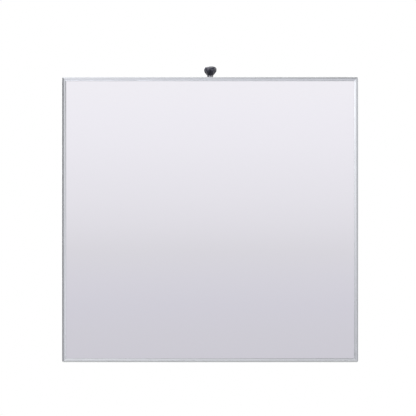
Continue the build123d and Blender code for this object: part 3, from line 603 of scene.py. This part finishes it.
def at_places(bm, places):
    """One bmesh that holds the shape at each of the places."""
    shape = bpy.data.meshes.new("shape")
    bm.to_mesh(shape)
    bm.free()
    several = bmesh.new()
    for place in places:
        start = len(several.verts)
        several.from_mesh(shape)
        several.verts.ensure_lookup_table()
        bmesh.ops.transform(several, matrix=place, verts=several.verts[start:])
    bpy.data.meshes.remove(shape)
    return several


def threaded(radius, pitch, low, high):
    """A screw thread along +Z from one height to another, cut flat at both ends."""
    turns = math.ceil((high - low) / pitch) + 2
    bm = bmesh.new()
    verts = []
    for inward, upward in THREAD_OUTLINE:
        reach = radius - inward * THREAD_DEPTH * pitch
        verts.append(bm.verts.new((reach, 0, low - pitch + upward * pitch)))
    edges = [bm.edges.new(pair) for pair in zip(verts, verts[1:])]
    bmesh.ops.spin(
        bm,
        geom=verts + edges,
        axis=(0, 0, 1),
        cent=(0, 0, 0),
        dvec=(0, 0, pitch / THREAD_STEPS),
        angle=2 * math.pi * turns,
        steps=THREAD_STEPS * turns,
    )
    bmesh.ops.remove_doubles(bm, verts=bm.verts, dist=pitch * 0.01)
    for height, way in ((low, -1), (high, 1)):
        cut = bmesh.ops.bisect_plane(
            bm,
            geom=bm.verts[:] + bm.edges[:] + bm.faces[:],
            plane_co=(0, 0, height),
            plane_no=(0, 0, way),
            clear_outer=True,
        )["geom_cut"]
        rim = [item for item in cut if isinstance(item, bmesh.types.BMEdge)]
        bmesh.ops.contextual_create(bm, geom=rim)
    return bm


def weld_bead(name, route, closed, material, settings):
    """A weld bead along a route of points, with the ripples of a hand-run torch."""
    lengths = [(b - a).length for a, b in zip(route, route[1:] + route[:1])]
    if not closed:
        lengths.pop()
    count = max(WELD_LEAST, int(sum(lengths) / settings.weld_step))
    count += count % 2
    curve = bpy.data.curves.new(name, "CURVE")
    curve.dimensions = "3D"
    curve.bevel_depth = settings.weld_size
    curve.bevel_resolution = 3
    curve.use_fill_caps = True
    spline = curve.splines.new("POLY")
    spline.points.add(count - 1)
    total = sum(lengths)
    for step, point in enumerate(spline.points):
        along = total * step / (count if closed else count - 1)
        leg = 0
        while leg < len(lengths) - 1 and along > lengths[leg]:
            along -= lengths[leg]
            leg += 1
        start, end = route[leg], route[(leg + 1) % len(route)]
        spot = start.lerp(end, min(1, along / lengths[leg]))
        point.co = (*spot, 1)
        point.radius = (1.0 if step % 2 else WELD_VALLEY) + WELD_WAVER * math.sin(step * WELD_WAVE)
    spline.use_cyclic_u = closed
    holder = bpy.data.objects.new(name, curve)
    bpy.context.scene.collection.objects.link(holder)
    made = bpy.data.meshes.new_from_object(holder.evaluated_get(bpy.context.evaluated_depsgraph_get()))
    bm = bmesh.new()
    bm.from_mesh(made)
    bpy.data.objects.remove(holder)
    bmesh.ops.remove_doubles(bm, verts=bm.verts, dist=0.01 * MM)
    return set_piece(name, bm, material, "wall_bracket", crease=60)

# ---------------------------------------------------------------- operators, one for each piece or group
class MIRROR_OT_pane(bpy.types.Operator):
    """Make the domed mirror pane"""

    bl_idname = "mirror.pane"
    bl_label = "Mirror pane"

    def execute(self, context):
        settings = context.scene.mirror_pane
        centre = MIRROR_MIDDLE + Vector((0, settings.dome_radius, 0))
        bm = bmesh.new()
        bmesh.ops.create_grid(bm, x_segments=PANE_GRID[0], y_segments=PANE_GRID[1], size=0.5)
        bmesh.ops.rotate(bm, verts=bm.verts, matrix=Matrix.Rotation(math.pi / 2, 3, "X"))
        bmesh.ops.scale(bm, verts=bm.verts, vec=(PANE_RIGHT - PANE_LEFT, 1, PANE_TOP - PANE_BOTTOM))
        bmesh.ops.translate(bm, verts=bm.verts, vec=MIRROR_MIDDLE)
        for vert in bm.verts:
            rise = vert.co.z - centre.z
            vert.co.y = centre.y - math.sqrt(settings.dome_radius**2 - vert.co.x**2 - rise**2)
        front = bm.faces[:]
        bmesh.ops.recalc_face_normals(bm, faces=front)
        if front[0].normal.y > 0:
            bmesh.ops.reverse_faces(bm, faces=front)
        back = bmesh.ops.extrude_face_region(bm, geom=bm.faces[:], use_keep_orig=True)["geom"]
        back_verts = [item for item in back if isinstance(item, bmesh.types.BMVert)]
        bmesh.ops.translate(bm, verts=back_verts, vec=(0, settings.thickness, 0))
        set_piece(
            "pane",
            bm,
            mirrored_acrylic(settings),
            "mirror_head",
            ["mirror_pane"],
        )
        return {"FINISHED"}


class MIRROR_OT_frame(bpy.types.Operator):
    """Make the four mitred rails of the edge frame"""

    bl_idname = "mirror.frame"
    bl_label = "Edge frame"

    def execute(self, context):
        settings = context.scene.mirror_frame
        dome = context.scene.mirror_pane.dome_radius
        centre = MIRROR_MIDDLE + Vector((0, dome, 0))
        lip = settings.lip_width / MM
        # (inset from the rail's outer face, height above the pane's front), in millimetres
        section = [
            *((0, 0.2), (3.1, 2.4), (lip, 1.1), (lip, 0.9), (1.8, 0.9)),
            *((1.8, -8.1), (4.8, -8.1), (4.8, -9.4), (0.8, -9.4), (0, -8.6)),
        ]
        half_width = (FRAME_RIGHT - FRAME_LEFT) / 2
        half_height = (FRAME_TOP - FRAME_BOTTOM) / 2
        metals = {flag: anodised_aluminium(settings, flag) for flag in (True, False)}
        for node, outward in RAILS.items():
            level = outward.z != 0
            half_span = half_height if level else half_width
            half_length = half_width if level else half_height
            bm = bmesh.new()
            verts = []
            for inset, height in section:
                across = half_span - inset * MM
                depth = math.sqrt((dome + height * MM) ** 2 - across**2)
                verts.append(bm.verts.new(centre + outward * across - Vector((0, depth, 0))))
            bm.faces.new(verts)
            bmesh.ops.bevel(
                bm,
                geom=[*verts[:3], verts[-1]],  # the corners that show
                offset=settings.edge_round,
                segments=3,
                profile=0.5,
                affect="VERTICES",
                material=-1,
            )
            bmesh.ops.delete(bm, geom=bm.faces[:], context="FACES_ONLY")
            sweep = PAST_CORNER * math.asin(half_length / (dome - half_span))
            bmesh.ops.rotate(
                bm, verts=bm.verts, cent=centre, matrix=Matrix.Rotation(-sweep, 3, outward)
            )
            bmesh.ops.spin(
                bm,
                geom=bm.verts[:] + bm.edges[:],
                axis=outward,
                cent=centre,
                angle=2 * sweep,
                steps=RAIL_STEPS,
            )
            for end in (-1, 1):
                along = Vector((end, 0, 0)) if level else Vector((0, 0, end))
                corner = MIRROR_MIDDLE + outward * half_span + along * half_length
                pivot = corner - (outward + along) * settings.corner_round
                cuts = [(corner, (along - outward).normalized())]
                for tilt in CORNER_CUTS:
                    lean = math.radians(tilt)
                    normal = outward * math.cos(lean) + along * math.sin(lean)
                    cuts.append((pivot + normal * settings.corner_round, normal))
                for spot, normal in cuts:
                    cut = bmesh.ops.bisect_plane(
                        bm,
                        geom=bm.verts[:] + bm.edges[:] + bm.faces[:],
                        dist=ON_THE_CUT,
                        plane_co=spot,
                        plane_no=normal,
                        clear_outer=True,
                    )["geom_cut"]
                    rim = [item for item in cut if isinstance(item, bmesh.types.BMEdge)]
                    bmesh.ops.contextual_create(bm, geom=rim)
            bmesh.ops.remove_doubles(bm, verts=bm.verts, dist=SAME_SPOT)
            set_piece(
                node.replace("frame_", ""), bm, metals[level], "mirror_head", [node]
            )
        return {"FINISHED"}


class MIRROR_OT_knob(bpy.types.Operator):
    """Make the star knob's grip, its metal neck and its threaded stud"""

    bl_idname = "mirror.knob"
    bl_label = "Star knob"

    def execute(self, context):
        settings = context.scene.mirror_knob
        low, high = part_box("knob_grip")
        top = high.z
        axis = Vector((PAN_AXIS.x, PAN_AXIS.y, 0))
        step = 2 * math.pi / settings.flutes

        def fluted(height, radius):
            """The outline at one height, drawn in softly where a leaning finger flute passes."""
            across, deep = settings.flute_radius, settings.flute_radius / math.cos(FLUTE_LEAN)
            middle = FLUTE_RIM + deep + (height - top + FLUTE_CREST) * math.tan(FLUTE_LEAN)

            def reach(angle):
                off = (angle - settings.turn + step / 2) % step - step / 2
                # where a ray at this angle meets the flute's elliptical section
                a = (math.cos(off) / deep) ** 2 + (math.sin(off) / across) ** 2
                b = math.cos(off) * middle / deep**2
                c = (middle / deep) ** 2 - 1
                inside = b * b - a * c
                if inside <= 0:
                    return radius
                wall = (b - math.sqrt(inside)) / a
                soft = settings.edge_round
                gap = max(0.0, soft - abs(radius - wall)) / soft
                return min(radius, wall) - gap * gap * soft / 4

            return reach

        levels = [(top - depth * MM, fluted(top - depth * MM, r * MM)) for depth, r in GRIP_OUTLINE]
        bm = turn_up(levels, segments=GRIP_SEGMENTS)
        bmesh.ops.transform(bm, matrix=Matrix.Translation(axis), verts=bm.verts)
        plastic = black_phenolic(settings)
        set_piece("star_knob_grip", bm, plastic, "knob", ["knob_grip"], crease=50)

        base = top - GRIP_DEPTH
        foot = low.z
        bm = bmesh.new()
        bmesh.ops.create_cube(bm, size=1)
        bmesh.ops.scale(bm, verts=bm.verts, vec=(*LEG_SIZE, base - foot + 0.4 * MM))
        bmesh.ops.translate(bm, verts=bm.verts, vec=(LEG_MIDDLE, 0, (base + foot + 0.4 * MM) / 2))
        sharp = [edge for edge in bm.edges if all(vert.co.x > LEG_MIDDLE for vert in edge.verts)]
        bmesh.ops.bevel(
            bm, geom=sharp, offset=0.35 * MM, segments=3, profile=0.5, affect="EDGES", material=-1
        )
        places = [
            Matrix.Translation(axis) @ Matrix.Rotation(settings.turn + count * step, 4, "Z")
            for count in range(settings.flutes)
        ]
        bm = at_places(bm, places)
        set_piece("star_knob_legs", bm, plastic, "knob")

        hub_low, hub_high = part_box("knob_hub")
        neck = (hub_high.x - hub_low.x) / 2
        levels = [
            (0, HUB_BORE),
            (0, neck - 0.6 * MM),
            (0.15 * MM, neck - 0.25 * MM),
            (0.5 * MM, neck),
            (foot - hub_low.z - 0.3 * MM, neck),
            (foot - hub_low.z, neck - 0.3 * MM),
            (foot - hub_low.z, HUB_CORE),
            (base - hub_low.z, HUB_CORE),
            (base - hub_low.z, HUB_BORE),
        ]
        bm = turn_up(levels, segments=96, hollow=True)
        bmesh.ops.transform(bm, matrix=Matrix.Translation(axis + Vector((0, 0, hub_low.z))), verts=bm.verts)
        set_piece(
            "knob_neck",
            bm,
            turned_metal("Nickel-plated brass, turned", "D9DBDD", roughness=0.16),
            "knob",
            ["knob_hub"],
        )
        stud_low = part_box("knob_stud")[0].z
        bm = threaded(radius=3 * MM, pitch=1 * MM, low=stud_low, high=hub_low.z + 1 * MM)
        bmesh.ops.transform(bm, matrix=Matrix.Translation(axis), verts=bm.verts)
        set_piece("threaded_stud", bm, zinc_plate(), "knob", ["knob_stud"], crease=25)
        return {"FINISHED"}


class MIRROR_OT_bracket(bpy.types.Operator):
    """Finish the wall bracket and the yoke, and run their weld beads"""

    bl_idname = "mirror.bracket"
    bl_label = "Wall bracket and yoke"

    def execute(self, context):
        settings = context.scene.mirror_bracket
        arm_paint = powder_coat(
            "Grey powder coat", settings.arm_paint, peel_size=1.4 * MM, roughness=0.36
        )
        yoke_paint = powder_coat(
            "Satin black powder coat", settings.yoke_paint, peel_size=1.8 * MM, roughness=0.42
        )
        acetal = natural_acetal()
        for node in ("wall_plate", "arm_tube", "arm_gusset", "pan_barrel"):
            paint_node(node, arm_paint)
        for node in ("yoke", "tilt_block", "hinge_bracket"):
            paint_node(node, yoke_paint)
        for node in ("pan_bush_upper", "pan_bush_lower", "tilt_bush_left", "tilt_bush_right"):
            paint_node(node, acetal)
        low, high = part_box("arm_tube")
        plate_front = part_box("wall_plate")[0].y
        corners = [
            Vector((x, plate_front, z))
            for x, z in ((low.x, low.z), (high.x, low.z), (high.x, high.z), (low.x, high.z))
        ]
        weld_bead("arm_weld", corners, True, arm_paint, settings)
        gusset_low, gusset_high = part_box("arm_gusset")
        for side, x in (("left", gusset_low.x), ("right", gusset_high.x)):
            foot = [
                Vector((x, plate_front, gusset_low.z + WELD_STOP)),
                Vector((x, plate_front, gusset_high.z - WELD_GAP)),
            ]
            weld_bead(f"gusset_foot_weld_{side}", foot, False, arm_paint, settings)
            seam = [
                Vector((x, plate_front - WELD_GAP, gusset_high.z)),
                Vector((x, gusset_low.y + WELD_STOP, gusset_high.z)),
            ]
            weld_bead(f"gusset_seam_weld_{side}", seam, False, arm_paint, settings)
        barrel_low, barrel_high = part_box("pan_barrel")
        radius = (barrel_high.x - barrel_low.x) / 2
        for side, x in (("left", low.x), ("right", high.x)):
            y = PAN_AXIS.y + math.sqrt(max(0, radius**2 - x**2))
            seam = [Vector((x, y, low.z + WELD_STOP)), Vector((x, y, high.z - WELD_STOP))]
            weld_bead(f"barrel_weld_{side}", seam, False, arm_paint, settings)
        return {"FINISHED"}


class MIRROR_OT_backs(bpy.types.Operator):
    """Finish the shell, spine, keys, gasket and backing sheet"""

    bl_idname = "mirror.backs"
    bl_label = "Back of the mirror"

    def execute(self, context):
        shell = haircell_abs()
        steel = galvanised_sheet()
        paint_node("back_shell", shell)
        paint_node("backing_sheet", shell)
        paint_node("spine_channel", steel)
        paint_node("glazing_gasket", black_rubber())
        for corner in ("top_left", "top_right", "bottom_left", "bottom_right"):
            paint_node(f"corner_key_{corner}", steel)
        return {"FINISHED"}


class MIRROR_OT_fasteners(bpy.types.Operator):
    """Finish the bolts, nuts, washers, rivets and friction discs"""

    bl_idname = "mirror.fasteners"
    bl_label = "Fasteners"

    def execute(self, context):
        zinc = zinc_plate()
        for node in (
            "pan_nut",
            "spring_washer",
            "knob_washer",
            "corner_screws",
            "hinge_washers",
            "hinge_bolts",
            "hinge_nuts",
            "tilt_bolt",
            "tilt_washers",
            "tilt_lock_nut",
        ):
            paint_node(node, zinc)
        paint_node("spine_rivets", turned_metal("Aluminium rivet, plain", "DADCDE", roughness=0.3))
        fibre = friction_fibre()
        paint_node("friction_disc_left", fibre)
        paint_node("friction_disc_right", fibre)
        return {"FINISHED"}


class MIRROR_OT_studio(bpy.types.Operator):
    """Make the floor, the lights, the sky and the camera"""

    bl_idname = "mirror.studio"
    bl_label = "Studio"

    def execute(self, context):
        settings = context.scene.mirror_stage
        scene = context.scene
        scene.view_settings.view_transform = "Standard"
        bm = bmesh.new()
        bmesh.ops.create_circle(bm, cap_ends=True, segments=128, radius=settings.floor_radius)
        bmesh.ops.translate(bm, verts=bm.verts, vec=(0, 0, FRAME_BOTTOM - settings.floor_drop))
        mesh = bpy.data.meshes.new("floor")
        bm.to_mesh(mesh)
        bm.free()
        mesh.materials.append(floor_paint(settings))
        floor = bpy.data.objects.new("floor", mesh)
        scene.collection.objects.link(floor)

        for name, place, aim, width, height, watts, colour in SOFT_BOXES:
            lamp = bpy.data.lights.new(name, "AREA")
            lamp.shape = "RECTANGLE"
            lamp.size = width
            lamp.size_y = height
            lamp.energy = watts
            lamp.color = srgb(colour)[:3]
            holder = bpy.data.objects.new(name, lamp)
            holder.location = place
            holder.rotation_mode = "QUATERNION"
            holder.rotation_quaternion = (Vector(aim) - Vector(place)).to_track_quat("-Z", "Y")
            scene.collection.objects.link(holder)

        self.sky(scene)

        lens = bpy.data.cameras.new("camera")
        lens.lens = settings.lens
        lens.sensor_width = SENSOR_WIDTH
        lens.clip_end = FAR_CLIP
        camera = bpy.data.objects.new("camera", lens)
        aim = MIRROR_MIDDLE + Vector((settings.aim_right, 0, settings.aim_up))
        camera.location = aim - Vector((0, settings.distance, 0))
        camera.rotation_euler = (math.pi / 2, 0, 0)
        scene.collection.objects.link(camera)
        scene.camera = camera
        return {"FINISHED"}

    def sky(self, scene):
        """A pale studio surround that darkens slowly towards the floor, plain white behind the object."""
        world = bpy.data.worlds.new("studio_surround")
        scene.world = world
        world.use_nodes = True
        tree = world.node_tree
        tree.nodes.clear()
        place = add_node(tree, "ShaderNodeTexCoord").outputs["Generated"]
        axes = add_node(tree, "ShaderNodeSeparateXYZ", {"Vector": place})
        across, up = axes.outputs["X"], axes.outputs["Z"]
        glow = [(level, [c / MIRROR_GAIN for c in srgb(code)[:3]]) for level, code in SKY_BANDS]
        ramps = []
        for component, reach, stops in (
            (up, BAND_REACH, glow),
            (across, 1, SKY_SIDES),
            (up, 1, SKY_HEIGHTS),
        ):
            share = {"Value": component, "From Min": -reach, "From Max": reach}
            ramp = add_node(tree, "ShaderNodeValToRGB", {"Fac": add_node(tree, RANGE, share)})
            elements = ramp.color_ramp.elements
            while len(elements) < len(stops):
                elements.new(0.5)
            for element, (level, colour) in zip(elements, stops):
                element.position = (level + reach) / (2 * reach)
                element.color = (*colour, 1.0)
            ramps.append(ramp)
        base = ramps[0]
        gains = []
        for ramp, other in ((ramps[1], up), (ramps[2], across)):
            parts = add_node(tree, "ShaderNodeSeparateColor", {"Color": ramp})
            slope = add_node(tree, MATH, {0: parts.outputs["Green"], 1: LEVEL}, operation="SUBTRACT")
            steep = add_node(tree, MATH, {0: slope, 1: SLOPE_SCALE}, operation="MULTIPLY")
            limits = {"Value": other, "Min": -SLOPE_REACH, "Max": SLOPE_REACH}
            near = add_node(tree, "ShaderNodeClamp", limits)
            change = add_node(tree, MATH, {0: steep, 1: near, 2: 1.0}, operation="MULTIPLY_ADD")
            double = add_node(tree, MATH, {0: parts.outputs["Red"], 1: 2.0}, operation="MULTIPLY")
            gains.append(add_node(tree, MATH, {0: change, 1: double}, operation="MULTIPLY"))
        both = add_node(tree, MATH, {0: gains[0], 1: gains[1]}, operation="MULTIPLY")
        rear = {"Value": axes.outputs["Y"]}
        rear.update(zip(("From Min", "From Max", "To Min", "To Max"), REAR_DIMMING))
        dimmed = add_node(tree, MATH, {0: both, 1: add_node(tree, RANGE, rear)}, operation="MULTIPLY")
        strength = add_node(tree, MATH, {0: dimmed, 1: LEAST_GAIN}, operation="MAXIMUM")
        background = add_node(tree, "ShaderNodeBackground", {"Color": base, "Strength": strength})
        plain = add_node(tree, "ShaderNodeBackground", {"Color": srgb("FFFFFF")})
        path = add_node(tree, "ShaderNodeLightPath")
        mixed = add_node(
            tree,
            "ShaderNodeMixShader",
            {
                0: path.outputs["Is Camera Ray"],
                1: background.outputs["Background"],
                2: plain.outputs["Background"],
            },
        )
        add_node(tree, "ShaderNodeOutputWorld", {"Surface": mixed.outputs["Shader"]})


class MIRROR_PT_panel(bpy.types.Panel):
    """Lists the mirror's pieces in the sidebar"""

    bl_idname = "MIRROR_PT_panel"
    bl_label = "Yard Mirror"
    bl_space_type = "VIEW_3D"
    bl_region_type = "UI"
    bl_category = "Yard Mirror"

    def draw(self, context):
        for operator in OPERATORS:
            self.layout.operator(operator.bl_idname)
        for name in SETTINGS:
            group = getattr(context.scene, name)
            column = self.layout.column()
            for prop in group.__annotations__:
                column.prop(group, prop)

SETTINGS = {
    "mirror_pane": PaneSettings,
    "mirror_frame": FrameSettings,
    "mirror_knob": KnobSettings,
    "mirror_bracket": BracketSettings,
    "mirror_stage": StageSettings,
}
OPERATORS = (
    MIRROR_OT_pane,
    MIRROR_OT_frame,
    MIRROR_OT_knob,
    MIRROR_OT_bracket,
    MIRROR_OT_backs,
    MIRROR_OT_fasteners,
    MIRROR_OT_studio,
)


def register():
    for cls in (*SETTINGS.values(), *OPERATORS, MIRROR_PT_panel):
        bpy.utils.register_class(cls)
    for name, group in SETTINGS.items():
        setattr(bpy.types.Scene, name, bpy.props.PointerProperty(type=group))


def unregister():
    for name in SETTINGS:
        delattr(bpy.types.Scene, name)
    for cls in reversed((*SETTINGS.values(), *OPERATORS, MIRROR_PT_panel)):
        bpy.utils.unregister_class(cls)


def main():
    """Builds every piece."""
    register()
    bpy.ops.mirror.studio()
    bpy.ops.mirror.pane()
    bpy.ops.mirror.frame()
    bpy.ops.mirror.knob()
    bpy.ops.mirror.bracket()
    bpy.ops.mirror.backs()
    bpy.ops.mirror.fasteners()


if __name__ == "__main__":
    main()
